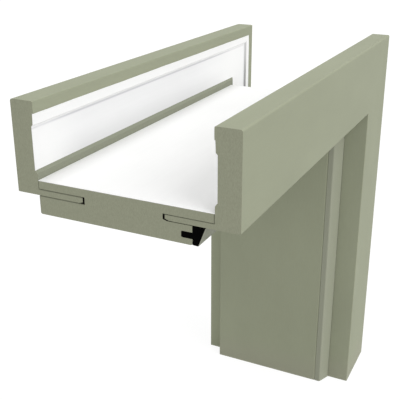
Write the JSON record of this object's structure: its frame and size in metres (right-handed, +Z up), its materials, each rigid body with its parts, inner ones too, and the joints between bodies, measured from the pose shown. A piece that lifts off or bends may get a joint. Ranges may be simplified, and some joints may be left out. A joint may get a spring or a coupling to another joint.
{
  "type": "door frame corner section",
  "caption": "Cut corner of an adjustable rebated door frame: mitred lining, near and far trims and a gasket, with the far trim sliding in the lining's groove.",
  "frame": {"origin": "middle of the jamb lining's wall side, on its surface", "axes": "+X from the doorway into the wall beside the jamb, +Y through the wall from the near (rebate side) trim to the far trim, +Z up"},
  "size_m": [0.3422, 0.153, 0.3402],
  "materials": {
    "trim_board": "olive-grey satin decor foil over fibreboard",
    "lining_board": "olive-grey satin decor foil over fibreboard",
    "backing": "white balancing foil",
    "gasket_core": "black elastomer",
    "gasket_skin": "olive-grey matt skin"
  },
  "bodies": {
    "frame": {"near_head_trim": "trim_board", "near_jamb_trim": "trim_board", "near_head_trim_backing": "backing", "near_jamb_trim_backing": "backing", "head_lining": "lining_board", "jamb_lining": "lining_board", "head_lining_backing": "backing", "jamb_lining_backing": "backing", "head_gasket": "gasket_core", "jamb_gasket": "gasket_core", "head_gasket_skin": "gasket_skin", "jamb_gasket_skin": "gasket_skin"},
    "far_trim": {"far_head_trim": "trim_board", "far_jamb_trim": "trim_board", "far_head_trim_backing": "backing", "far_jamb_trim_backing": "backing"}
  },
  "joints": [
    {"name": "far_trim_slide", "type": "slide", "parent": "frame", "child": "far_trim", "axis": [0, 1, 0], "range_m": [0, 0.02]}
  ]
}
